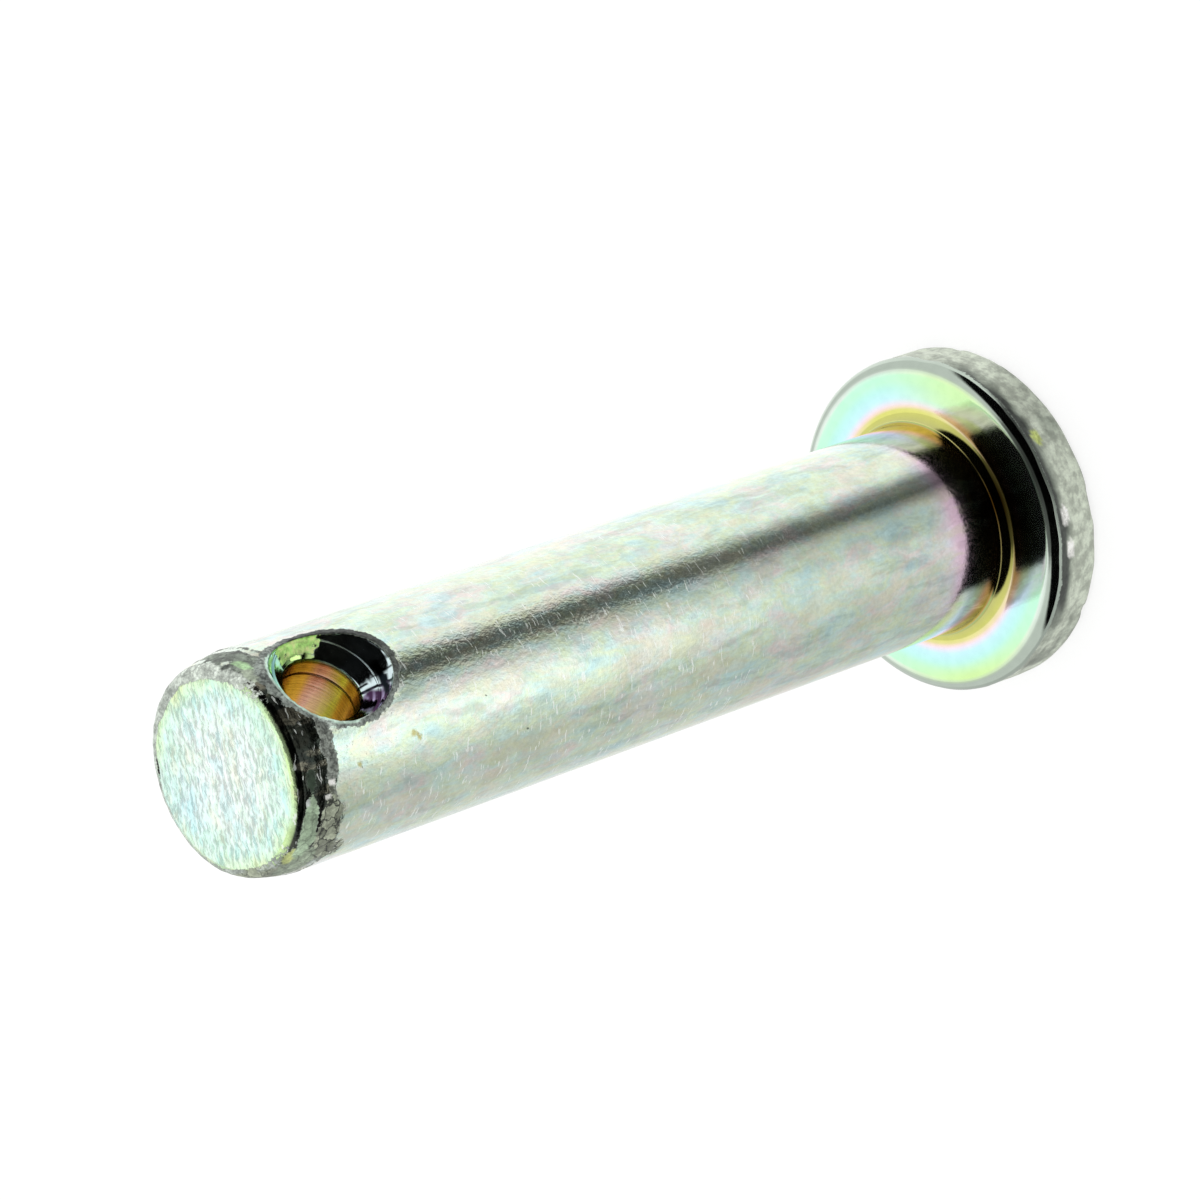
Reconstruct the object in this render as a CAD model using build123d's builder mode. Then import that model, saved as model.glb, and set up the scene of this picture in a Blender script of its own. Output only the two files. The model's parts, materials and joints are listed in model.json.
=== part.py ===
"""Headed clevis pin with a countersunk cotter hole through its pointed end.

The pin stands on its head. The origin is the centre of the head's outer face, +Z runs along
the shank to the end face, and the cotter hole runs along X. Sizes are in millimetres.
"""
from build123d import *
import os

# Shank and head
shank_diameter = 7.9
grip_length = 35.2             # from the head's bearing face to the end face
head_diameter = 12.7
head_thickness = 2.4

# Edges of the head
bearing_edge_radius = 0.53     # rounded corner around the bearing face
outer_edge_radius = 0.35       # rounded corner around the outer face
neck_radius = 0.5              # hollow fillet where the shank meets the head

# Point at the free end
point_length = 1.6
point_drop = 0.3               # how far the crowned point falls away from the shank
end_edge_radius = 0.4          # rounded corner around the end face

# Cotter hole, countersunk from both sides
cotter_hole_diameter = 2.8
cotter_hole_to_end = 3.24      # from the hole's axis to the end face
countersink_diameter = 4.9     # where the cone leaves the crown of the shank
countersink_angle = 90

# Radii and heights that follow
shank_radius = shank_diameter / 2
head_radius = head_diameter / 2
end_height = head_thickness + grip_length
point_height = end_height - point_length
cotter_hole_height = end_height - cotter_hole_to_end


with BuildPart() as clevis_pin:
    # Head, shank and crowned point are one outline turned about the pin's axis
    with BuildSketch(Plane.XZ):
        with BuildLine():
            head_and_shank = Polyline(
                (0, 0),
                (head_radius, 0),
                (head_radius, head_thickness),
                (shank_radius, head_thickness),
                (shank_radius, point_height),
            )
            point = TangentArc(
                head_and_shank @ 1,
                (shank_radius - point_drop, end_height),
                tangent=(0, 1),
            )
            Polyline(point @ 1, (0, end_height), (0, 0))
        make_face()
    revolve(axis=Axis.Z)

    # Rounded corners, from the head's outer face up to the end face
    outer_face, bearing_face, end_face = clevis_pin.faces().filter_by(Plane.XY).sort_by(Axis.Z)
    fillet(outer_face.edges(), radius=outer_edge_radius)
    fillet(bearing_face.outer_wire().edges(), radius=bearing_edge_radius)
    fillet(bearing_face.inner_wires()[0].edges(), radius=neck_radius)
    fillet(end_face.edges(), radius=end_edge_radius)

    # Cotter hole, drilled and countersunk from each crown of the shank
    with Locations(
        Plane(origin=(shank_radius, 0, cotter_hole_height), z_dir=(1, 0, 0)),
        Plane(origin=(-shank_radius, 0, cotter_hole_height), z_dir=(-1, 0, 0)),
    ):
        CounterSinkHole(
            radius=cotter_hole_diameter / 2,
            counter_sink_radius=countersink_diameter / 2,
            counter_sink_angle=countersink_angle,
        )

clevis_pin.part.label = "clevis_pin"

os.makedirs("parts", exist_ok=True)
export_step(clevis_pin.part, "parts/clevis_pin.step")
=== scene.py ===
"""A zinc-plated clevis pin that stands on its head, seen along its shank from the pointed end."""

import itertools
import json
import math

import bpy
import numpy as np
from mathutils import Matrix, Vector


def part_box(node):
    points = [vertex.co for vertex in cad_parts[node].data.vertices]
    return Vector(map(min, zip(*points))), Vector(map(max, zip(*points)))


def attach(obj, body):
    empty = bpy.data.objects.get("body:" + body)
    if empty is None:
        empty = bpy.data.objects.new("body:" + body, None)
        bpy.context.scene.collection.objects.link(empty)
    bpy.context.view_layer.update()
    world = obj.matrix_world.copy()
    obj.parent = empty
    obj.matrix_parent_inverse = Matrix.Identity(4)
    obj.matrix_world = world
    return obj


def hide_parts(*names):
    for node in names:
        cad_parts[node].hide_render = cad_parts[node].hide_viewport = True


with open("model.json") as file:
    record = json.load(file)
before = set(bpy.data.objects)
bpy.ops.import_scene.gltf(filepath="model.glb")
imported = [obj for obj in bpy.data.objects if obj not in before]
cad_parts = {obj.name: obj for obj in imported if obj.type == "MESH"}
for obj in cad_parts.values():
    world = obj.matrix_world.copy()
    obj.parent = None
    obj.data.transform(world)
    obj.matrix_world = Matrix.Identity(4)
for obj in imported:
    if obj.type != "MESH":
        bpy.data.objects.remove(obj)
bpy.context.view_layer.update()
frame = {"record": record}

MM = 0.001

# Sizes of the pin, in millimetres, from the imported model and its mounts
head_radius, _, end_height = (float(reach) for reach in np.array(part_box("clevis_pin")[1]) / MM)
mounts = {mount["name"]: mount for mount in frame["record"]["mounts"]}
head_thickness = mounts["bearing_face"]["pos_m"][2] / MM
shank_radius = mounts["shank"]["dims"]["r_mm"]
hole_radius = mounts["cotter_hole"]["dims"]["r_mm"]
hole_half_length = mounts["cotter_hole"]["dims"]["length_mm"] / 2
hole_height = mounts["cotter_hole"]["pos_m"][2] / MM

# Corners and the point, which the mounts don't state
point_length = 1.6
point_drop = 0.3
end_corner = 0.4
neck_corner = 0.5
bearing_corner = 0.53
outer_corner = 0.35

# Where the bearing face's flat starts and ends, and where the neck's fillet ends
flat_outer = head_radius - bearing_corner
flat_inner = shank_radius + neck_corner
neck_top = head_thickness + neck_corner

# The camera of the photograph: where it looks from, its roll and its long lens
VIEW_AZIMUTH = 57.571
VIEW_ELEVATION = 42.16
VIEW_ROLL = -109.05
VIEW_DISTANCE = 245.545
VIEW_CENTRE = (0.731, 1.150, 18.925)
LENS = 208.71


def add_object(name, data):
    """A new object in the scene, for a mesh, a lamp or a camera."""
    made = bpy.data.objects.new(name, data)
    bpy.context.scene.collection.objects.link(made)
    return made


def view_direction():
    """Unit vector from the pin to the camera."""
    azimuth = math.radians(VIEW_AZIMUTH)
    elevation = math.radians(VIEW_ELEVATION)
    return Vector((
        math.sin(azimuth) * math.cos(elevation),
        -math.cos(azimuth) * math.cos(elevation),
        math.sin(elevation),
    ))


def make_camera():
    """Camera at the photograph's viewing angle."""
    back = view_direction()
    level_right = Vector((0, 0, 1)).cross(back).normalized()
    level_up = back.cross(level_right)
    roll = math.radians(VIEW_ROLL)
    right = level_right * math.cos(roll) + level_up * math.sin(roll)
    up = back.cross(right)
    data = bpy.data.cameras.new("camera")
    data.lens = LENS
    data.sensor_width = 36
    data.clip_start = 0.01
    data.clip_end = 10
    camera = add_object("camera", data)
    place = (Vector(VIEW_CENTRE) + back * VIEW_DISTANCE) * MM
    turned = Matrix((right, up, back)).transposed().to_4x4()
    camera.matrix_world = Matrix.Translation(place) @ turned
    bpy.context.scene.camera = camera


make_camera()


# The surface is made of rows of points around the pin. A square patch of them round each
# mouth of the cotter hole gives way to rings that follow the mouth.
COLUMNS = 256
QUARTER = COLUMNS // 4
PATCH_HALF = COLUMNS // 8
PATCH_ROWS = 64
PATCH_LOW = hole_height - 3.2
PATCH_HIGH = end_height - 0.42
MOUTH_RINGS = 15
STEP_RADIUS = 1.88  # where the countersink steps down a little
OUTER_CONE_RINGS = 8
INNER_CONE_RINGS = 9
GROOVE_PLACE = 2.24  # the bore's groove, from the pin's axis
OUTSIDE, INSIDE = 9.0, -4.0  # mouth distances far outside a hole and in the bore
BORE_DEPTHS = (2.7, 2.5, 2.32, 2.27, 2.24, 2.21, 2.16, 1.9, 1.6, 1.3, 1.0, 0.7, 0.4, 0.13)

ZONES = ("head_top", "rim", "bearing_face", "neck", "shank", "point", "end_face", "cone", "bore")

# The point's crown is an arc that leaves the shank smoothly; the end's corner runs into it
point_height = end_height - point_length
crown_radius = (point_length ** 2 + point_drop ** 2) / (2 * point_drop)
crown_centre = shank_radius - crown_radius
corner_centre = crown_centre + math.sqrt(
    (crown_radius - end_corner) ** 2 - (point_length - end_corner) ** 2
)
crown_end = math.atan2(point_length - end_corner, corner_centre - crown_centre)


def outline_radius(height):
    """Radius of the shank and its crowned point at a height."""
    rise = np.maximum(np.asarray(height) - point_height, 0)
    return crown_centre + np.sqrt(crown_radius ** 2 - rise ** 2)


def arc(centre_radius, centre_height, radius, start, end, steps):
    """Points of a rounded corner, as (radius, height), without its first."""
    angles = np.radians(np.linspace(start, end, steps + 1)[1:])
    return [(centre_radius + radius * math.cos(a), centre_height + radius * math.sin(a))
            for a in angles]


def run(first, last, steps):
    """Points of a straight stretch, as (radius, height), without its first."""
    return [tuple(p) for p in np.linspace(first, last, steps + 1)[1:]]


def profile():
    """Rows of the turned outline, from the head's outer face up to the end face."""
    rows = [("head_top", head_radius - outer_corner, 0.0)]

    def add(zone, points):
        rows.extend((zone, *point) for point in points)

    add("rim", arc(head_radius - outer_corner, outer_corner, outer_corner, -90, 0, 4))
    add("rim", run((head_radius, outer_corner),
                   (head_radius, head_thickness - bearing_corner), 13))
    add("rim", arc(flat_outer, head_thickness - bearing_corner, bearing_corner, 0, 90, 8))
    add("bearing_face", run((flat_outer, head_thickness), (flat_inner, head_thickness), 14))
    add("neck", arc(flat_inner, neck_top, neck_corner, 270, 180, 9))
    add("shank", run((shank_radius, neck_top), (shank_radius, PATCH_LOW), 96))
    for height in np.linspace(PATCH_LOW, PATCH_HIGH, PATCH_ROWS + 1)[1:]:
        zone = "shank" if height < point_height else "point"
        rows.append((zone, float(outline_radius(height)), float(height)))
    crown_start = math.asin((PATCH_HIGH - point_height) / crown_radius)
    add("point", arc(crown_centre, point_height, crown_radius,
                     math.degrees(crown_start), math.degrees(crown_end), 2))
    add("point", arc(corner_centre, end_height - end_corner, end_corner,
                     math.degrees(crown_end), 90, 7))
    return rows


class Surface:
    """Points, faces and the zone of each, gathered while the pin's surface is built."""

    def __init__(self):
        self.points, self.zones, self.mouth, self.faces = [], [], [], []

    def add(self, points, zone, mouth=OUTSIDE):
        """Adds points of one zone, with their distance from the mouth, and gives their numbers."""
        first = len(self.points)
        self.points.extend(points)
        self.zones.extend([ZONES.index(zone)] * len(points))
        self.mouth.extend(np.broadcast_to(mouth, len(points)).tolist())
        return list(range(first, len(self.points)))

    def quad(self, a, b, c, d, flip=False):
        self.faces.append((d, c, b, a) if flip else (a, b, c, d))

    def join(self, lower, upper, flip=False):
        """Faces between two closed rows of as many points, which turn anticlockwise from above."""
        for k in range(len(lower)):
            after = (k + 1) % len(lower)
            self.quad(lower[k], lower[after], upper[after], upper[k], flip)


def around(radius, height):
    """One full row of points at a radius and height."""
    angles = np.arange(COLUMNS) * 2 * math.pi / COLUMNS
    return [(radius * math.cos(a), radius * math.sin(a), height) for a in angles]


def cap(surface, row, radius, height, zone, flip):
    """A disc of square cells that meets a row of points around its edge."""
    ids = {}
    for i in range(QUARTER + 1):
        for j in range(QUARTER + 1):
            x, y = 2 * i / QUARTER - 1, 2 * j / QUARTER - 1
            reach = max(abs(x), abs(y))
            if abs(x) >= abs(y):
                angle = math.pi / 4 * (y / x) if x else 0.0
                angle += math.pi if x < 0 else 0.0
            else:
                angle = math.pi / 2 - math.pi / 4 * (x / y)
                angle += math.pi if y < 0 else 0.0
            if i in (0, QUARTER) or j in (0, QUARTER):
                ids[i, j] = row[round(angle / (2 * math.pi) * COLUMNS) % COLUMNS]
            else:
                r = radius * reach
                ids[i, j] = surface.add([(r * math.cos(angle), r * math.sin(angle), height)], zone)[0]
    for i in range(QUARTER):
        for j in range(QUARTER):
            surface.quad(ids[i, j], ids[i + 1, j], ids[i + 1, j + 1], ids[i, j + 1], flip)


def mouth_point(angle):
    """Where the countersink's cone meets the outside, in one direction round the hole's axis."""
    low, high = hole_half_length, shank_radius
    for _ in range(40):
        depth = (low + high) / 2
        cone = hole_radius + depth - hole_half_length
        across, height = cone * math.cos(angle), hole_height + cone * math.sin(angle)
        if math.hypot(depth, across) < outline_radius(height):
            low = depth
        else:
            high = depth
    return np.array((depth, across, height))


def hole_patch(surface, frame_ids, frame_places, side):
    """Rings from the patch's frame to the mouth, down the cone and to the bore's first ring.

    The frame's places are its angle round the pin and its height. Side -1 is the mirror image.
    """
    flip = side < 0
    angles = [math.atan2(height - hole_height, turn * shank_radius) for turn, height in frame_places]
    mouth = np.array([mouth_point(angle) for angle in angles])
    mouth_places = np.column_stack((np.arctan2(mouth[:, 1], mouth[:, 0]), mouth[:, 2]))
    outer = frame_ids
    for step in range(1, MOUTH_RINGS + 1):
        share = (1 - step / MOUTH_RINGS) ** 1.5
        places = mouth_places + (np.array(frame_places) - mouth_places) * share
        turn, height = places.T
        radius = outline_radius(height)
        points = np.column_stack((radius * np.cos(turn), radius * np.sin(turn), height))
        distance = np.linalg.norm(points - mouth, axis=1)
        points[:, 0] *= side
        ring = surface.add([tuple(p) for p in points], "shank", distance)
        surface.join(outer, ring, flip=flip)
        outer = ring
    mouth_radius = np.hypot(mouth[:, 1], mouth[:, 2] - hole_height)
    radii = [mouth_radius + (STEP_RADIUS + 0.03 - mouth_radius) * step / OUTER_CONE_RINGS
             for step in range(1, OUTER_CONE_RINGS + 1)]
    radii += [np.full(len(angles), STEP_RADIUS + rise) for rise in (0.018, 0.006, -0.006, -0.018)]
    radii += [np.full(len(angles), radius)
              for radius in np.linspace(STEP_RADIUS - 0.03, hole_radius, INNER_CONE_RINGS)]
    for cone in radii:
        points = np.column_stack((cone - hole_radius + hole_half_length,
                                  cone * np.cos(angles), hole_height + cone * np.sin(angles)))
        distance = -np.linalg.norm(points - mouth, axis=1)
        points[:, 0] *= side
        ring = surface.add([tuple(p) for p in points], "cone", distance)
        surface.join(outer, ring, flip=flip)
        outer = ring
    return outer, angles


def build_surface():
    """The whole surface of the pin, in millimetres."""
    surface = Surface()
    rows = profile()
    patch_first = next(number for number, (zone, _, height) in enumerate(rows)
                       if zone == "shank" and height > PATCH_LOW - 1e-6)
    patch_last = patch_first + PATCH_ROWS

    def in_patch(column):
        """Whether a column lies inside one of the two patches."""
        half = COLUMNS // 2
        return any(abs((column - centre + half) % COLUMNS - half) < PATCH_HALF
                   for centre in (0, half))

    grid = []
    for number, (zone, radius, height) in enumerate(rows):
        ring = around(radius, height)
        if patch_first < number < patch_last:
            ids = [None if in_patch(k) else surface.add([ring[k]], zone)[0]
                   for k in range(COLUMNS)]
        else:
            ids = surface.add(ring, zone)
        grid.append(ids)
    for number in range(len(rows) - 1):
        lower, upper = grid[number], grid[number + 1]
        for k in range(COLUMNS):
            after = (k + 1) % COLUMNS
            if patch_first <= number < patch_last and (in_patch(k) or in_patch(after)):
                continue
            surface.quad(lower[k], lower[after], upper[after], upper[k])
    cap(surface, grid[0], rows[0][1], 0.0, "head_top", True)
    cap(surface, grid[-1], rows[-1][1], end_height, "end_face", False)

    # Frame of a patch: up its right side, back along its top, down its left, along its bottom
    steps = [(PATCH_HALF, row) for row in range(patch_first, patch_last)]
    steps += [(column, patch_last) for column in range(PATCH_HALF, -PATCH_HALF, -1)]
    steps += [(-PATCH_HALF, row) for row in range(patch_last, patch_first, -1)]
    steps += [(column, patch_first) for column in range(-PATCH_HALF, PATCH_HALF)]
    places = [(column * 2 * math.pi / COLUMNS, rows[row][2]) for column, row in steps]
    near = [grid[row][column % COLUMNS] for column, row in steps]
    far = [grid[row][(COLUMNS // 2 - column) % COLUMNS] for column, row in steps]
    near_ring, angles = hole_patch(surface, near, places, 1)
    far_ring, _ = hole_patch(surface, far, places, -1)
    inner = near_ring
    for depth in BORE_DEPTHS + tuple(-depth for depth in reversed(BORE_DEPTHS)):
        ring = surface.add([(depth, hole_radius * math.cos(a), hole_height + hole_radius * math.sin(a))
                            for a in angles], "bore", INSIDE)
        surface.join(inner, ring)
        inner = ring
    surface.join(inner, far_ring)
    return surface


# Relief and finish. Heights are in millimetres, outwards from the smooth surface.
def smooth_noise(points, cell, seed):
    """Noise from -1 to 1 with features about one cell wide; the cell may differ by axis."""
    place = np.asarray(points) / cell
    corner = np.floor(place).astype(np.int64)
    part = place - corner
    part = part * part * (3 - 2 * part)
    total = np.zeros(len(place))
    for shift in itertools.product((0, 1), repeat=3):
        code = (corner + shift) @ (73856093, 19349663, 83492791) + seed * 7919
        code = ((code ^ (code >> 13)) * 1274126177) & 0xFFFFFFFF
        code = (code ^ (code >> 16)) & 0xFFFF
        weight = np.prod(np.where(shift, part, 1 - part), axis=1)
        total += weight * (code / 32767.5 - 1)
    return total


def rough_noise(points, cell, seed, octaves=3):
    """Smooth noise with finer and fainter copies of itself."""
    cell = np.asarray(cell, dtype=float)
    total = sum(smooth_noise(points, cell / 2 ** k, seed + 31 * k) / 2 ** k for k in range(octaves))
    return total / (2 - 2 ** (1 - octaves))


def blend(value, low, high):
    """0 up to low, 1 from high, smooth between; falling where high is under low."""
    part = np.clip((value - low) / (high - low), 0, 1)
    return part * part * (3 - 2 * part)


def turned_from(azimuth, centre):
    """Degrees from one azimuth to another, from -180 to 180."""
    return (azimuth - centre + 180) % 360 - 180


def facing(azimuth, centre, half_width, full=0):
    """1 up to full degrees from an azimuth, falling smoothly to 0 at half_width degrees."""
    return blend(np.abs(turned_from(azimuth, centre)), half_width, full)


def waves(distance, pitch, shift=0.0):
    """From -1 to 1 and back, once in every pitch."""
    return np.sin(distance * 2 * math.pi / pitch + shift)


def mixed(first, second, share):
    """Colours from the first to the second by each point's share, which is kept from 0 to 1."""
    return np.array(first) + (np.array(second) - first) * np.clip(share, 0, 1)[:, None]


def by_stops(value, stops):
    """Numbers or colours at each value, blended between the stops."""
    at, wanted = zip(*stops)
    wanted = np.array(wanted)
    if wanted.ndim == 1:
        return np.interp(value, at, wanted)
    return np.column_stack([np.interp(value, at, column) for column in wanted.T])


# Colours of the plating's clear film, in linear light
SILVER_GREEN = (0.72, 0.85, 0.72)
PALE_SILVER = (0.76, 0.86, 0.78)
MINT = (0.56, 0.96, 0.72)
LIME = (0.66, 0.94, 0.36)
AQUA = (0.54, 0.93, 0.86)
CYAN = (0.60, 0.92, 0.98)
LILAC = (0.90, 0.80, 0.90)
ROSE = (0.94, 0.74, 0.62)
YELLOW = (0.74, 0.74, 0.20)
OLIVE = (0.62, 0.62, 0.24)
COPPER = (0.80, 0.54, 0.18)
AMBER = (0.84, 0.64, 0.40)
MAUVE = (0.97, 0.68, 0.86)
FROST = (0.80, 0.96, 0.98)
PURPLE = (0.06, 0.025, 0.07)

# Colours of rough places without film
CHIP_LIGHT = (0.74, 0.81, 0.72)
FLAKE_GREY = (0.38, 0.42, 0.31)
BURR_GREY = (0.36, 0.41, 0.37)
BURR_LIGHT = (0.44, 0.50, 0.45)
BURR_DARK = (0.08, 0.09, 0.08)
BAND_LIGHT = (0.50, 0.55, 0.48)
CROWN_LIGHT = (0.42, 0.50, 0.40)
PATCH_GREEN = (0.44, 0.58, 0.40)
FORGED_GREY = (0.66, 0.72, 0.60)
FORGED_DARK = (0.30, 0.34, 0.28)
# Painted dark reflection, for the point's crown and the head's outer corner on the camera's side
PAINTED_DARK_REFLECTION = (0.035, 0.042, 0.032)

# From the bearing face's outer edge (0) to its inner edge (1), up the neck (2), 3 mm up the shank (3)
HEAD_FILM = (
    (0.00, PALE_SILVER), (0.05, MINT), (0.25, MINT), (0.45, AQUA), (0.72, CYAN), (0.87, LILAC),
    (0.95, ROSE), (1.04, YELLOW), (1.50, OLIVE), (2.00, COPPER), (2.15, COPPER), (2.25, AMBER),
    (2.32, AMBER), (2.42, MAUVE), (2.70, MAUVE), (2.80, LILAC), (3.00, PALE_SILVER),
    (3.20, SILVER_GREEN),
)

# From the end face's centre outwards, in shank radii
END_FILM = (
    (0.00, (0.84, 0.90, 0.88)), (0.50, (0.76, 0.90, 0.82)), (0.72, (0.62, 0.90, 0.76)),
    (0.88, (0.68, 0.92, 0.44)),
)

# Round the countersink, in degrees from +Y by +Z
CONE_FILM = (
    (-180, SILVER_GREEN), (-155, PURPLE), (-126, PURPLE), (-120, FROST), (-70, FROST),
    (-60, SILVER_GREEN), (-36, SILVER_GREEN), (-30, LIME), (22, LIME), (40, (0.45, 0.78, 0.72)),
    (80, MINT), (120, SILVER_GREEN), (180, SILVER_GREEN),
)

# Round the bore's wall, in the same degrees. Light thrown about in the bore deepens these.
BORE_FILM = (
    (-180, (0.92, 0.88, 0.66)), (-155, (0.74, 0.72, 0.12)), (-76, (0.72, 0.68, 0.12)),
    (-58, (0.80, 0.56, 0.34)), (-42, (0.80, 0.48, 0.46)), (-28, (0.88, 0.44, 0.38)),
    (-14, (0.92, 0.52, 0.32)), (-2, (0.74, 0.36, 0.22)), (25, (0.62, 0.31, 0.15)),
    (50, (0.92, 0.88, 0.66)), (180, (0.92, 0.88, 0.66)),
)

# How light the chipped rim is and how much of it is chipped, by azimuth
RIM_LIGHTNESS = ((-180, 0.5), (-150, 0.3), (-100, 0.2), (-30, 0.8), (0, 1), (50, 1), (90, 0.6), (180, 0.5))
RIM_CHIPPED = ((-180, 0.5), (-130, 0.8), (-100, 0.6), (-75, 0), (-15, 0), (20, 0.8), (110, 1), (180, 0.6))
# Where the film on the end face stops, and where the point's rough band stops, by azimuth
FILM_EDGE = (
    (-180, 3.42), (-150, 3.40), (-125, 3.34), (-100, 3.40), (-20, 3.38), (0, 3.34), (30, 3.26),
    (95, 3.22), (115, 3.36), (180, 3.42),
)
BAND_EDGE = (
    (-180, 1.5), (-120, 1.5), (-105, 1.8), (-80, 1.8), (-65, 1.4), (-45, 1.5), (-25, 1.7), (0, 1.6),
    (60, 1.5), (120, 1.4), (180, 1.5),
)
# How much painted dark reflection the point's crown gets, by azimuth: most on the camera's side
CROWN_PAINTED_SHADE = ((-180, 0.4), (-125, 0.6), (-100, 1), (22, 1), (42, 0.15), (120, 0.1), (180, 0.4))

MARK_DIRECTION = 44  # azimuth that the shear marks on the end face run along


class Finishing:
    """Relief, colours and roughness at each point of the surface, zone by zone."""

    def __init__(self, surface):
        self.points = np.array(surface.points)
        self.zones = np.array(surface.zones)
        self.mouth = np.array(surface.mouth)
        x, y, z = self.points.T
        self.radius = np.hypot(x, y)
        self.azimuth = np.degrees(np.arctan2(y, x))
        self.depth = end_height - z
        count = len(self.points)
        self.height, self.matte, self.crack, self.flaky = np.zeros((4, count))
        self.grain = np.ones(count)
        self.film = np.tile(SILVER_GREEN, (count, 1))
        self.scale = np.tile(BURR_GREY, (count, 1))
        self.end_face()
        self.point()
        self.hole()
        self.head()
        in_shank = self.zone("shank", "point", "neck")
        self.height += in_shank * 0.004 * self.noise((1.1, 1.1, 2.6), 15)

    def zone(self, *names):
        return np.isin(self.zones, [ZONES.index(name) for name in names])

    def noise(self, cell, seed, octaves=3):
        return rough_noise(self.points, cell, seed, octaves)

    def tint(self, share, colour):
        """Takes the film towards one colour, or towards a colour for each point."""
        self.film += (np.array(colour) - self.film) * np.asarray(share)[:, None]

    def roughen(self, share, colour, flaky=0.0, grain=1.0):
        """Takes the film off, down to a rough colour with some flakes and grain."""
        cover = blend(share, 0.1, 0.5)
        self.matte = np.maximum(self.matte, share)
        self.flaky += (flaky - self.flaky) * cover
        self.grain += (grain - self.grain) * cover
        self.scale += (np.array(colour) - self.scale) * cover[:, None]

    def patch(self, azimuth, depth, half_angle, half_depth, ragged, seed):
        """1 inside a patch on the pin's side round a place, with a ragged edge."""
        across = turned_from(self.azimuth, azimuth) / half_angle
        down = (self.depth - depth) / half_depth
        apart = np.hypot(across, down) + ragged * self.noise(0.35, seed)
        return blend(apart, 1.25, 0.75)

    def end_face(self):
        """Shear marks that run one way, and a chipped rim."""
        turn = math.radians(MARK_DIRECTION)
        x, y, _ = self.points.T
        along = x * math.cos(turn) + y * math.sin(turn)
        across = y * math.cos(turn) - x * math.sin(turn)
        marked = np.column_stack((along, across, self.depth))
        face = self.zone("end_face") & (self.depth < 0.01)
        self.height += face * 0.006 * rough_noise(marked, (0.8, 0.14, 1), 1)
        self.height += face * 0.008 * smooth_noise(marked, (2.5, 1.2, 1), 2)

        near_end = self.zone("end_face", "point") & (self.depth < 0.35)
        self.tint(near_end, by_stops(self.radius / shank_radius + 0.12 * self.noise(1.1, 41), END_FILM))
        bluish = facing(self.azimuth, 160, 60) * blend(self.radius, 0.8, 2.4) * near_end
        self.tint(0.7 * bluish, (0.60, 0.84, 0.90))
        limy = facing(self.azimuth, 112, 26) * blend(self.radius, 2.9, 3.3) * near_end
        self.tint(0.8 * limy, (0.66, 0.90, 0.36))

        edge = by_stops(self.azimuth, FILM_EDGE)
        outside = blend(self.radius + 0.08 * self.noise(0.4, 3), edge - 0.08, edge + 0.08)
        chipped = outside * near_end * by_stops(self.azimuth, RIM_CHIPPED)
        lightness = by_stops(self.azimuth, RIM_LIGHTNESS)
        self.roughen(chipped, mixed(BURR_GREY, CHIP_LIGHT, lightness), 0.25, 0.55)
        self.height -= chipped * (0.03 + 0.03 * self.noise(0.3, 4))

        split = self.zone("end_face", "point") * facing(self.azimuth, 133, 12) * (self.depth < 0.3)
        split *= np.exp(-((self.radius - 3.36 + 0.05 * self.noise(0.4, 20)) / 0.07) ** 2)
        self.crack = np.maximum(self.crack, split)
        self.height -= 0.08 * split

    def point(self):
        """Glossy crown with a ragged lip where the shank starts, flakes on one side of it."""
        side = self.zone("point", "shank") & (self.depth < 6)
        reach = by_stops(self.azimuth, BAND_EDGE) + 0.24 * self.noise(0.45, 6) + 0.12 * self.noise(0.18, 7)
        inside = blend(self.depth - reach, 0.06, -0.06) * side
        streaks = self.noise((0.8, 0.8, 0.12), 8)
        self.height += inside * blend(self.depth, 0.2, 0.5) * (-0.025 + 0.016 * streaks)
        lip = np.exp(-((self.depth - reach - 0.03) / 0.10) ** 2) * side
        self.height += lip * (0.012 + 0.02 * self.noise(0.15, 9))

        crown = inside * blend(self.depth, 0.04, 0.10)
        # Painted dark reflection: the glossy crown is darkened where it faces the camera's dark side
        dark = by_stops(self.azimuth, CROWN_PAINTED_SHADE)
        self.tint(crown * dark, PAINTED_DARK_REFLECTION)
        self.tint(crown * (1 - dark), (0.74, 0.84, 0.74))

        band_grey = mixed(BURR_DARK, BAND_LIGHT, 0.5 + 0.5 * self.noise(0.45, 34))
        self.roughen(0.95 * lip * blend(self.noise(0.5, 35), -0.6, 0.0), band_grey, 0.2)
        band = inside * blend(self.depth + 0.25 * self.noise(0.4, 21), 1.10, 1.35)
        band *= facing(self.azimuth, -50, 62, 48)
        self.roughen(0.9 * band, band_grey, 0.3)

        mottled = self.patch(30, 0.85, 30, 0.50, 0.8, 43) * side
        tone = 0.45 + 0.9 * self.noise(0.24, 44)
        self.roughen(mottled, mixed(BURR_DARK, CROWN_LIGHT, tone), 0.4, 0.5)

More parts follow.
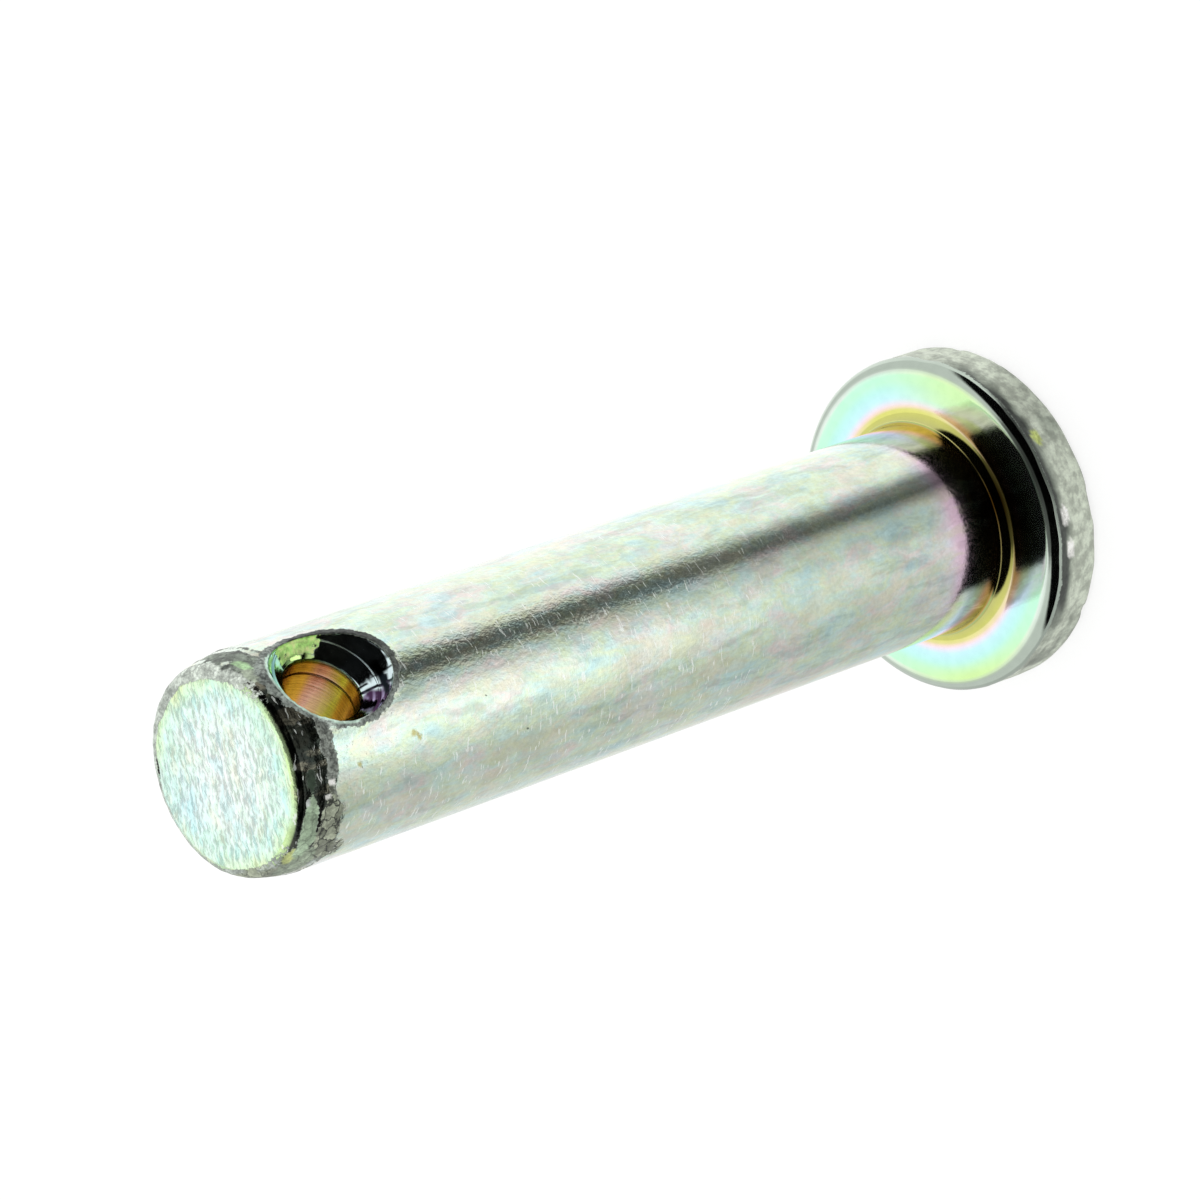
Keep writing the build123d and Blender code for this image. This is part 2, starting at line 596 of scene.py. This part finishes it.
        flakes = self.patch(-82, 1.42, 22, 0.52, 0.35, 22) * (self.depth > 0.8) * side
        self.roughen(flakes, FLAKE_GREY, 1.0, 0.5)
        self.height += flakes * (0.03 * self.noise((0.4, 0.4, 0.3), 23) - 0.02)
        for azimuth, depth, half_angle, half_depth, share, colour, flaky in (
            (-128, 0.50, 26, 0.50, 1.0, FLAKE_GREY, 0.7),
            (-106, 0.80, 16, 0.60, 1.0, (0.36, 0.44, 0.32), 0.5),
            (-98, 2.15, 8, 0.45, 0.6, FLAKE_GREY, 1.0),
            (-97, 0.32, 8, 0.20, 1.0, (0.55, 0.62, 0.24), 0.0),
            (-79, 0.56, 20, 0.31, 1.0, PATCH_GREEN, 0.4),
            (-50, 0.58, 7, 0.20, 0.7, (0.05, 0.08, 0.05), 0.0),
            # The next three near-white spots are painted glints
            (-54, 1.38, 1.5, 0.16, 1.0, (0.95, 0.95, 0.90), 0.0),
            (-61, 1.17, 1.2, 0.14, 1.0, (0.85, 0.85, 0.80), 0.0),
            (-62, 0.40, 2, 0.08, 1.0, (0.80, 0.85, 0.82), 0.0),
            (25, 0.62, 6, 0.17, 1.0, (0.50, 0.75, 0.42), 0.0),
            (15, 0.45, 6, 0.20, 1.0, (0.52, 0.60, 0.46), 0.0),
        ):
            spot = self.patch(azimuth, depth, half_angle, half_depth, 0.25, 24) * side
            self.roughen(share * spot, colour, flaky, 0.35)
            self.height -= 0.02 * spot

    def hole(self):
        """Burr round each mouth, a step and tool rings down the countersink, a groove in the bore."""
        x, y, z = self.points.T
        cone_radius = np.hypot(y, z - hole_height)
        turn = np.degrees(np.arctan2(z - hole_height, y))

        width = 0.28 + 0.20 * self.noise(0.20, 11)
        width = width + 0.38 * facing(turn, 75, 60) + 0.14 * facing(turn, -60, 80)
        burr = blend(self.mouth, width, width * 0.4) * (self.mouth > -0.04)
        tone = 0.35 + 0.5 * facing(turn, 150, 80) + 0.25 * facing(turn, 60, 60) + 0.5 * self.noise(0.4, 30)
        tone -= 0.6 * facing(turn, -45, 80)
        self.roughen(burr, mixed(BURR_DARK, BURR_LIGHT, tone))
        self.height += burr * (0.012 + 0.03 * self.noise(0.14, 12))
        lip = blend(np.abs(self.mouth - 0.01), 0.09, 0.04) * facing(turn, 110, 75, 50)
        self.roughen(lip, (0.72, 0.95, 0.80), 0.0, 0.2)

        cone = self.zone("cone")
        self.height += cone * 0.003 * waves(cone_radius, 0.14, 2 * self.noise(0.8, 13))
        self.height += cone * 0.004 * self.noise(0.35, 31)
        lowered = blend(cone_radius, STEP_RADIUS - 0.02, STEP_RADIUS + 0.02)
        lowered *= blend(self.mouth, -0.02, -0.12)
        self.height -= cone * 0.045 * lowered
        self.tint(cone, by_stops(turn + 14 * self.noise(0.35, 14), CONE_FILM))
        ringed = cone * facing(turn, 55, 40) * blend(waves(cone_radius, 0.30), 0.0, 0.6)
        self.tint(0.8 * ringed, (0.10, 0.26, 0.28))
        serrated = np.abs(turn) + 22 * self.noise(0.2, 32) + 6 * blend(cone_radius, 1.8, 2.3)
        limy = cone * blend(serrated, 31, 27) * blend(self.mouth, -0.02, -0.06)
        limy *= blend(cone_radius, 1.48, 1.60)
        shade = 1.05 + 0.8 * self.noise((0.3, 0.16, 0.16), 36) + 0.15 * waves(cone_radius, 0.2)
        self.roughen(0.85 * limy, np.clip(np.array((0.66, 1.15, 0.32)) * shade[:, None], 0, 1), 0.0, 0.3)
        unrolled = np.column_stack((turn, cone_radius, 0 * turn))
        strokes = smooth_noise(unrolled, (4.5, 0.7, 1), 37)
        broken = blend(strokes, 0.15, 0.4) * facing(turn, -110, 34)
        ring = blend(np.abs(cone_radius - 2.05), 0.11, 0.08)
        broken = np.maximum(broken, facing(turn, -110, 40) * ring)
        self.tint(cone * blend(broken, 0.3, 0.6), (0.008, 0.012, 0.016))
        lines = facing(turn, -138, 26) * blend(waves(cone_radius, 0.21, strokes), 0.3, 0.9)
        self.tint(0.8 * cone * lines, (0.50, 0.42, 0.66))
        outer = facing(turn, -132, 24) * blend(cone_radius, 2.16, 2.26) * blend(self.mouth, 0.0, -0.08)
        self.tint(0.9 * cone * outer, (0.20, 0.34, 0.30))

        bore = self.zone("bore")
        groove = np.exp(-((np.abs(x) - GROOVE_PLACE) / 0.02) ** 2) * bore
        self.height -= 0.04 * groove
        self.tint(bore, by_stops(turn + 14 * self.noise((1.8, 0.6, 0.6), 33), BORE_FILM))
        mouth_side = blend(np.abs(x), GROOVE_PLACE - 0.02, GROOVE_PLACE + 0.04)
        self.tint(0.65 * bore * mouth_side * facing(turn, -30, 60), (0.58, 0.27, 0.13))
        self.tint(groove > 0.5, (0.40, 0.13, 0.05))
        self.height += bore * 0.01 * self.noise((0.5, 0.9, 0.9), 16)

    def head(self):
        """Rainbow film on the bearing face and in the neck, a rough forged rim and a plain top."""
        height = self.points[:, 2]
        along_flat = (flat_outer - self.radius) / (flat_outer - flat_inner)
        up_neck = 1 + (height - head_thickness) / neck_corner
        up_shank = 2 + (height - neck_top) / 3
        along = np.where(self.radius > flat_inner, along_flat, up_neck)
        along = np.where(height > neck_top, up_shank, along)
        low = height < head_thickness + 4
        self.tint(low, by_stops(along + 0.05 * self.noise(2.4, 40, 1), HEAD_FILM))
        limy = facing(self.azimuth, -125, 50) * blend(self.radius, 5.1, 5.8)
        limy = np.maximum(limy, 0.8 * facing(self.azimuth, 15, 45) * blend(self.radius, 4.4, 5.0))
        self.tint(low * limy, (0.66, 0.92, 0.40))
        # Painted dark reflection: the film round the neck is darkened on the camera's side
        neck_painted_reflection = facing(self.azimuth, -32, 62) * blend(along, 0.9, 1.1) * blend(along, 2.45, 2.2)
        self.film *= 1 - neck_painted_reflection[:, None] * (0.91, 0.95, 0.98)
        dusky = facing(self.azimuth, -105, 60) * blend(along, 1.6, 2.0) * blend(along, 2.50, 2.35)
        self.film *= 1 - 0.6 * dusky[:, None]
        corner = blend(self.radius, flat_outer + 0.04, flat_outer + 0.16)
        self.tint(corner, (0.52, 0.60, 0.52))
        # Painted dark reflection on the outer corner on the camera's side
        self.tint(0.8 * corner * facing(self.azimuth, -26, 34), PAINTED_DARK_REFLECTION)

        rough = self.noise((0.9, 0.9, 0.7), 17)
        forged = self.zone("rim") * blend(
            height + 0.08 * rough, head_thickness - 0.30, head_thickness - 0.48)
        pits = blend(smooth_noise(self.points, (0.9, 0.9, 0.7), 18), 0.35, 0.7)
        self.height += forged * (-0.04 + 0.04 * rough - 0.05 * pits)
        stain_and_shade = 0.9 * blend(self.noise((1.6, 1.6, 0.8), 38), 0.1, 0.6)
        # Painted shade: the upper part of the rim on the camera's side is darkened, on top of the real
        # stains
        shaded = blend(height + 0.35 * self.noise((1.2, 1.2, 0.6), 42),
                       head_thickness - 1.15, head_thickness - 0.55)
        shaded *= facing(self.azimuth, -30, 75, 40)
        stain_and_shade = np.maximum(stain_and_shade, 1.35 * shaded)
        colour = mixed(mixed(FORGED_GREY, FORGED_DARK, stain_and_shade), BURR_DARK, 3 * (stain_and_shade - 1))
        self.roughen(forged * (0.85 + 0.1 * rough), colour, 0.0, 0.15)
        for azimuth, rise, colour in (
            (-16, 1.60, (0.70, 0.80, 0.26)),
            (-44, 1.65, (1.0, 1.0, 0.95)),
            (-55, 1.52, (1.0, 1.0, 0.95)),
        ):
            spot = self.patch(azimuth, end_height - rise, 3, 0.16, 0.6, 39) * self.zone("rim")
            self.roughen(spot, colour, 0.0, 0.3)
        top = self.zone("head_top")
        self.height += top * 0.02 * self.noise(0.9, 19)
        self.roughen(top * 0.6, FORGED_GREY, 0.0, 0.4)


def node_maker(tree):
    """A short way to add a shader node: settings by keyword, inputs by name or number."""
    def add(kind, inputs=None, **settings):
        node = tree.nodes.new("ShaderNode" + kind)
        for name, value in settings.items():
            setattr(node, name, value)
        for name, value in (inputs or {}).items():
            if isinstance(value, bpy.types.NodeSocket):
                tree.links.new(value, node.inputs[name])
            else:
                node.inputs[name].default_value = value
        return node
    return add


def smooth_range(add, value, low, high, start=0.0, end=1.0):
    """A value from low to high spread smoothly from start to end."""
    return add("MapRange", {
        "Value": value, "From Min": low, "From Max": high, "To Min": start, "To Max": end},
        interpolation_type="SMOOTHSTEP").outputs[0]


def empty_material(name):
    """A material without nodes, and the short way to add them."""
    material = bpy.data.materials.new(name)
    material.use_nodes = True
    material.node_tree.nodes.clear()
    return material, node_maker(material.node_tree)


class Finish:
    """Short names for the shader nodes that the finishes are made of. Places are in millimetres."""

    def __init__(self, name):
        self.material, self.add = empty_material(name)
        place = self.add("TexCoord").outputs["Object"]
        self.place = self.stretch(place, (1 / MM, 1 / MM, 1 / MM))

    def vector(self, kind, *inputs):
        """A node of vector maths, with its inputs in order."""
        return self.add("VectorMath", dict(enumerate(inputs)), operation=kind)

    def stretch(self, place, factors):
        return self.vector("MULTIPLY", place, factors).outputs[0]

    def bend(self, place, fineness, amount):
        """Places moved about by up to half an amount, in millimetres."""
        wander = self.add("TexNoise", {
            "Vector": place, "Scale": fineness, "Detail": 2.0, "Roughness": 0.6}).outputs["Color"]
        middle = self.vector("SUBTRACT", wander, (0.5, 0.5, 0.5)).outputs[0]
        return self.vector("MULTIPLY_ADD", middle, (amount, amount, amount), place).outputs[0]

    def noise(self, factors, detail=2.0, roughness=0.5, place=None):
        """Noise from about 0.3 to 0.7, with this many features a millimetre along X, Y and Z."""
        return self.add("TexNoise", {
            "Vector": self.stretch(place or self.place, factors), "Scale": 1.0, "Detail": detail,
            "Roughness": roughness}).outputs["Fac"]

    def level(self, *value_and_range):
        return smooth_range(self.add, *value_and_range)

    def math(self, kind, a, b):
        return self.add("Math", {0: a, 1: b}, operation=kind).outputs[0]

    def times(self, a, b):
        return self.math("MULTIPLY", a, b)

    def between(self, share, a, b):
        """A number from a to b by a share."""
        return self.add("Mix", {0: share, 2: a, 3: b}).outputs[0]

    def mix(self, share, a, b, kind="MIX"):
        """A colour from a to b by a share, or another kind of mix."""
        a, b = ((*value, 1) if isinstance(value, tuple) else value for value in (a, b))
        return self.add("Mix", {0: share, 6: a, 7: b},
                        data_type="RGBA", blend_type=kind).outputs[2]

    def shade(self, colour, factor):
        """A colour times a grey factor."""
        grey = self.add("CombineColor", {0: factor, 1: factor, 2: factor}).outputs[0]
        return self.mix(1.0, colour, grey, "MULTIPLY")

    def ramp(self, value, stops):
        """Colours at positions from 0 to 1."""
        node = self.add("ValToRGB", {"Fac": value})
        elements = node.color_ramp.elements
        for _ in range(len(stops) - len(elements)):
            elements.new(1.0)
        for element, (at, colour) in zip(elements, stops):
            element.position = at
            element.color = (*colour, 1)
        return node.outputs["Color"]

    def field(self, name, output="Fac"):
        """A value kept at the mesh's points, or a colour where the output is Color."""
        return self.add("Attribute", attribute_name=name).outputs[output]

    def bump(self, height, distance, **under):
        """Fine relief whose height from 0 to 1 is worth a distance in millimetres."""
        inputs = {"Height": height, "Distance": distance * MM, "Strength": 1.0, **under}
        return self.add("Bump", inputs).outputs[0]

    def metal(self, colour, roughness, normal, dull=0.0):
        """Ends the material: plated metal, and the rough places that the mesh's fields ask for."""
        grain = self.noise((8, 8, 8), 4, 0.70)
        flaky = self.field("flaky")
        flakes = self.stretch(self.bend(self.place, 4.0, 0.35), (2.0, 2.0, 2.6))
        edge = self.add("TexVoronoi", {"Vector": flakes, "Scale": 1.0},
                        feature="DISTANCE_TO_EDGE").outputs["Distance"]
        cell = self.add("TexVoronoi", {"Vector": flakes, "Scale": 1.0}).outputs["Color"]
        tone = self.level(self.add("SeparateColor", {0: cell}).outputs[0], 0, 1, 0.6, 1.35)
        gap = self.times(self.level(edge, 0.02, 0.08, 1.0, 0.0), flaky)

        grey = self.shade(self.field("scale", "Color"), self.between(flaky, 1.0, tone))
        grainy = self.level(grain, 0.34, 0.66, 0.35, 1.4)
        grey = self.shade(grey, self.between(self.field("grain"), 1.0, grainy))
        grey = self.shade(grey, self.level(self.noise((1.9, 1.9, 2.3), 3, 0.6), 0.34, 0.66, 0.72, 1.2))
        grey = self.mix(self.times(gap, 0.9), grey, (0.03, 0.035, 0.03))

        ragged = self.level(grain, 0.3, 0.7, -0.25, 0.25)
        matte = self.level(self.math("ADD", self.field("matte"), ragged), 0.42, 0.56)
        crack = self.level(self.math("ADD", self.field("crack"), ragged), 0.4, 0.6)
        colour = self.mix(crack, self.mix(matte, colour, grey), (0.02, 0.02, 0.02))
        relief = self.times(self.math("ADD", self.times(grain, 0.5), self.times(gap, -0.6)), matte)
        shader = self.add("BsdfPrincipled", {
            "Base Color": colour,
            "Metallic": self.between(matte, self.math("SUBTRACT", 1.0, dull), 0.35),
            "Roughness": self.between(matte, roughness, 0.48),
            "Normal": self.bump(relief, 0.03, Normal=normal)})
        self.add("OutputMaterial", {"Surface": shader.outputs[0]})
        return self.material


# Small dents in the shank: azimuth, depth from the end face, radius and colour
STAINED = (0.46, 0.40, 0.12)
SPECK = (0.05, 0.07, 0.07)
DENTS = (
    (-44.4, 5.24, 0.13, STAINED), (-47.3, 5.47, 0.11, STAINED), (-45.4, 5.42, 0.08, STAINED),
    (-50.0, 2.65, 0.11, STAINED), (-62.5, 10.51, 0.05, SPECK), (-38.5, 8.77, 0.045, SPECK),
)


def dented(finish, colour):
    """The colour with the shank's dents in it, and 1 inside them."""
    bent = finish.bend(finish.place, 7.0, 0.22)
    dents = 0.0
    for azimuth, depth, radius, inside in DENTS:
        turn = math.radians(azimuth)
        centre = (shank_radius * math.cos(turn), shank_radius * math.sin(turn), end_height - depth)
        away = finish.vector("DISTANCE", bent, centre).outputs["Value"]
        dent = finish.level(away, radius * 0.3, radius * 1.5, 1.0, 0.0)
        colour = finish.mix(finish.times(dent, 0.8), colour, inside)
        dents = finish.math("MAXIMUM", dent, dents)
    return colour, dents


def plated_shank():
    """Satin zinc plate with a faint rainbow film, fine grain, short nicks and a few dents."""
    finish = Finish("plated_shank")
    height = finish.add("SeparateXYZ", {0: finish.place}).outputs["Z"]
    film = (
        (0.32, (0.52, 0.83, 0.90)), (0.41, (0.64, 0.86, 0.80)), (0.48, (0.77, 0.87, 0.56)),
        (0.53, (0.66, 0.86, 0.78)), (0.60, (0.93, 0.75, 0.73)), (0.68, (0.64, 0.83, 0.88)))
    hue = finish.ramp(finish.noise((0.60, 0.60, 0.30), 4, 0.55), film)
    small_hue = finish.ramp(finish.noise((1.5, 1.5, 0.9), 2, 0.5), film)
    share = finish.math("MINIMUM", finish.level(height, 4.2, 6.5, 0.0, 0.72),
                        finish.level(height, end_height - 1.8, end_height - 1.3, 0.72, 0.05))
    colour = finish.mix(share, finish.field("film", "Color"), finish.mix(0.4, hue, small_hue))
    long_streaks = finish.noise((1.3, 1.3, 0.20), 4, 0.6, finish.bend(finish.place, 0.5, 0.8))
    colour = finish.mix(finish.level(long_streaks, 0.50, 0.60, 0.0, 0.42), colour, (0.80, 0.76, 0.56))
    colour = finish.shade(colour, finish.level(long_streaks, 0.36, 0.48, 0.84, 1.0))
    mottle = finish.noise((1.0, 1.0, 0.8), 5, 0.7)
    colour = finish.shade(colour, finish.level(mottle, 0.36, 0.62, 0.90, 1.04))
    speckle = finish.noise((7, 7, 6), 2, 0.6)
    colour = finish.shade(colour, finish.level(speckle, 0.3, 0.7, 0.95, 1.05))

    nicks = finish.noise((1.9, 1.9, 12), 1, 0.5, finish.bend(finish.place, 1.3, 0.4))
    nicks = finish.times(finish.level(nicks, 0.65, 0.71), finish.level(height, 10, 18))
    colour = finish.mix(finish.times(nicks, 0.7), colour, (0.95, 1.0, 0.95))
    streaks = finish.level(finish.noise((1.3, 1.3, 9), 3, 0.6), 0.48, 0.64)
    on_point = finish.level(height, end_height - 1.6, end_height - 1.3, 0.0, 0.10)
    streaks = finish.times(streaks, on_point)
    dull = finish.math("MAXIMUM", streaks, finish.times(nicks, 0.4))

    colour, dents = dented(finish, colour)
    satin = finish.level(height, 4.5, 11, 0.10, 0.14)
    roughness = finish.math("ADD", satin, finish.level(speckle, 0.3, 0.7, -0.02, 0.04))
    fine = finish.level(height, 8, 24, 0.15, 1.0)
    relief = finish.math("SUBTRACT", finish.times(speckle, fine), finish.times(dents, 0.3))
    return finish.metal(colour, roughness, finish.bump(relief, 0.012), dull)


def plated_end():
    """Sheared end face: plate over fine ragged marks that run one way."""
    finish = Finish("plated_end")
    turned = finish.add("VectorRotate", {
        "Vector": finish.place, "Angle": -math.radians(MARK_DIRECTION)},
        rotation_type="Z_AXIS").outputs[0]
    bent = finish.bend(turned, 2.4, 0.30)
    lines = finish.noise((2.4, 8.5, 1.0), 3, 0.66, bent)
    hue = finish.ramp(finish.noise((0.9, 2.2, 1.0), 3, 0.6, bent), (
        (0.36, (0.56, 0.90, 0.92)), (0.46, (0.90, 0.94, 0.90)), (0.54, (0.66, 0.94, 0.78)),
        (0.64, (0.92, 0.94, 0.70))))
    colour = finish.mix(0.4, finish.field("film", "Color"), hue)
    colour = finish.shade(colour, finish.level(lines, 0.36, 0.60, 0.70, 1.18))
    return finish.metal(colour, finish.level(lines, 0.3, 0.7, 0.24, 0.34), finish.bump(lines, 0.016))


def plated_smooth():
    """Bright smooth plate on the rim and bearing face, in the neck and in the countersinks."""
    finish = Finish("plated_smooth")
    haze = finish.noise((2.2, 2.2, 2.2), 3, 0.5)
    colour = finish.shade(finish.field("film", "Color"), finish.level(haze, 0.3, 0.7, 0.97, 1.02))
    return finish.metal(colour, finish.level(haze, 0.3, 0.7, 0.06, 0.09), finish.bump(haze, 0.003))


def gold_bore():
    """The drilled hole's wall: thick gold and copper film with faint tool rings."""
    finish = Finish("gold_bore")
    streaks = finish.level(finish.noise((0.4, 3.0, 3.0), 2, 0.5), 0.35, 0.65, 0.88, 1.06)
    rings = finish.noise((14, 0.6, 0.6), 2, 0.6)
    colour = finish.shade(finish.field("film", "Color"), streaks)
    colour = finish.shade(colour, finish.level(rings, 0.3, 0.7, 0.80, 1.12))
    return finish.metal(colour, finish.level(rings, 0.3, 0.7, 0.14, 0.22), finish.bump(rings, 0.006))


def forged_grey():
    """Rough forged outer face of the head under thin plate."""
    finish = Finish("forged_grey")
    patch = finish.noise((1.3, 1.3, 1.7), 4, 0.6)
    colour = finish.shade(finish.field("scale", "Color"), finish.level(patch, 0.32, 0.68, 0.5, 1.2))
    return finish.metal(colour, finish.level(patch, 0.3, 0.7, 0.36, 0.24), finish.bump(patch, 0.02))


FINISHES = {
    "head_top": forged_grey, "rim": plated_smooth, "bearing_face": plated_smooth, "neck": plated_smooth,
    "shank": plated_shank, "point": plated_shank, "end_face": plated_end, "cone": plated_smooth,
    "bore": gold_bore,
}


def make_pin(surface):
    """The pin's mesh object, in metres, with its relief, its fields and its finishes."""
    mesh = bpy.data.meshes.new("clevis_pin_skin")
    mesh.from_pydata(surface.points, [], surface.faces)
    normals = np.array([normal.vector for normal in mesh.vertex_normals])
    finishing = Finishing(surface)
    points = finishing.points + normals * finishing.height[:, None]
    radius = np.maximum(np.hypot(points[:, 0], points[:, 1]), 1e-9)
    points[:, :2] *= np.minimum(head_radius / radius, 1)[:, None]
    points[:, 2] = np.clip(points[:, 2], 0, end_height)
    mesh.vertices.foreach_set("co", (points * MM).ravel())
    mesh.update()
    mesh.shade_smooth()
    for name in ("matte", "crack", "flaky", "grain"):
        field = mesh.attributes.new(name, "FLOAT", "POINT")
        field.data.foreach_set("value", getattr(finishing, name).astype(np.float32))
    for name in ("film", "scale"):
        colours = np.column_stack((getattr(finishing, name), np.ones(len(points))))
        field = mesh.attributes.new(name, "FLOAT_COLOR", "POINT")
        field.data.foreach_set("color", colours.astype(np.float32).ravel())

    makers = list(dict.fromkeys(FINISHES.values()))
    for maker in makers:
        mesh.materials.append(maker())
    slots = np.array([makers.index(FINISHES[name]) for name in ZONES])
    # A face on a border takes the finish of the later zone
    zones = np.array(surface.zones)[np.array(surface.faces)]
    mesh.polygons.foreach_set("material_index", slots[np.max(zones, axis=1)].astype(np.int32))
    skin = add_object("clevis_pin_skin", mesh)
    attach(skin, "root")
    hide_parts("clevis_pin")


make_pin(build_surface())


# Studio. Everything on the camera's side of the pin is dark, everything behind it is white.
SKY_LEVEL = 0.88
DARK_SIDE = 0.001
OVERHEAD = 0.2  # straight above


def make_world():
    """White to the camera and the floor; metal sees the dark side and a dim ceiling too."""
    world = bpy.data.worlds.new("studio")
    bpy.context.scene.world = world
    world.use_nodes = True
    add = node_maker(world.node_tree)
    toward = view_direction()
    toward.z = 0
    toward.normalize()
    place = add("TexCoord")
    side = add("VectorMath", {0: place.outputs["Generated"], 1: toward},
               operation="DOT_PRODUCT")
    shade = smooth_range(add, side.outputs["Value"], -0.05, 0.12, SKY_LEVEL, DARK_SIDE)
    height = add("SeparateXYZ", {0: place.outputs["Generated"]})
    overhead = smooth_range(add, height.outputs["Z"], 0.92, 0.96)
    both = add("Mix", {0: overhead, 2: shade, 3: OVERHEAD})
    path = add("LightPath")
    level = add("Mix", {0: path.outputs["Is Glossy Ray"], 2: 1.0, 3: both.outputs[0]})
    background = world.node_tree.nodes["Background"]
    world.node_tree.links.new(level.outputs[0], background.inputs["Color"])


# What metal sees of the white table, by direction from the pin in degrees from +X: its brightness
# near the head and further out. A dark strip between two lights gives the long dark stripe on the shank.
TABLE_LEVELS = (
    (-202, 1.00, 1.00), (-192, 0.95, 0.95), (-172, 0.78, 0.78), (-152, 0.66, 0.66), (-132, 0.62, 0.64),
    (-112, 0.60, 0.62), (-102, 0.58, 0.60), (-92, 0.62, 0.66), (-82, 0.66, 0.78), (-72, 0.68, 0.92),
    (-62, 0.72, 1.14), (-52, 0.74, 1.28), (-42, 0.73, 1.27), (-32, 0.58, 1.10), (-22, 0.56, 0.82),
    (-13, 0.50, 0.60), (-6, 0.25, 0.30), (-1, 0.10, 0.10), (10, 0.24, 0.07), (16, 0.64, 0.40),
    (22, 0.92, 0.84), (28, 1.02, 1.06), (68, 1.08, 1.08), (88, 1.20, 1.16), (130, 1.16, 1.16),
    (158, 1.00, 1.00),
)
TABLE_RINGS = (0, 4, 11, 18, 25, 32, 38, 54, 58, 62, 66, 90, 115, 140, 600)
NEAR, FAR = 11, 38
LIT, UNLIT = 54, 66  # on the camera's side the lit table fades out between these,
DIM, FAR_GREY = 90, 140  # and its far part grows grey between these
GREY_LEVEL = 0.5


def make_table_glow():
    """A disc on the floor that only metal sees."""
    steps = 360
    directions, *brightness = zip(*TABLE_LEVELS)
    angles = np.linspace(directions[0], directions[-1], steps, endpoint=False)
    near, far = (np.interp(angles, directions, values) for values in brightness)
    before = facing(angles, VIEW_AZIMUTH - 90, 98, 78)
    points, levels, faces = [], [], []
    for radius in TABLE_RINGS:
        share = np.interp(radius, (NEAR, FAR), (0, 1))
        beyond = np.interp(radius, (LIT, UNLIT, DIM, FAR_GREY), (0, 1, 1, 1 - GREY_LEVEL))
        levels.extend((near * (1 - share) + far * share) * (1 - beyond * before))
        points.extend((radius * MM * math.cos(a), radius * MM * math.sin(a), 0.02 * MM)
                      for a in np.radians(angles))
    for first in range(0, steps * (len(TABLE_RINGS) - 1), steps):
        for k in range(steps):
            after = (k + 1) % steps
            faces.append((first + k, first + after, first + steps + after, first + steps + k))
    mesh = bpy.data.meshes.new("table_glow")
    mesh.from_pydata(points, [], faces)
    mesh.attributes.new("level", "FLOAT", "POINT").data.foreach_set("value", levels)
    glow = add_object("table_glow", mesh)
    glow.visible_camera = glow.visible_diffuse = glow.visible_shadow = False
    material, add = empty_material("table_glow")
    level = add("Attribute", attribute_name="level")
    light = add("Emission", {"Strength": level.outputs["Fac"]})
    add("OutputMaterial", {"Surface": light.outputs[0]})
    mesh.materials.append(material)


def make_floor():
    """Plain white floor that keeps the pin's soft shadow."""
    mesh = bpy.data.meshes.new("floor")
    under = -0.01 * MM
    corners = [(-1, -1, under), (1, -1, under), (1, 1, under), (-1, 1, under)]
    mesh.from_pydata(corners, [], [(0, 1, 2, 3)])
    floor = add_object("floor", mesh)
    floor.visible_glossy = False
    material, add = empty_material("floor")
    path = add("LightPath")
    white = add("Mix", {0: path.outputs["Is Camera Ray"], 2: 0.8, 3: 0.3})
    paint = add("BsdfDiffuse", {"Color": white.outputs[0]})
    glow = add("Emission", {
        "Color": (0.76, 0.76, 0.76, 1), "Strength": path.outputs["Is Camera Ray"]})
    both = add("AddShader", {0: paint.outputs[0], 1: glow.outputs[0]})
    add("OutputMaterial", {"Surface": both.outputs[0]})
    mesh.materials.append(material)


def make_lamp():
    """One broad soft lamp, high behind the pin."""
    data = bpy.data.lights.new("softbox", "AREA")
    data.shape = "DISK"
    data.size = 0.5
    data.energy = 0.12
    lamp = add_object("softbox", data)
    away = -view_direction()
    away.z = 0.9
    lamp.location = away.normalized() * 0.6
    lamp.rotation_mode = "QUATERNION"
    lamp.rotation_quaternion = away.to_track_quat("Z", "Y")


make_world()
make_table_glow()
make_floor()
make_lamp()
bpy.context.scene.view_settings.view_transform = "Standard"
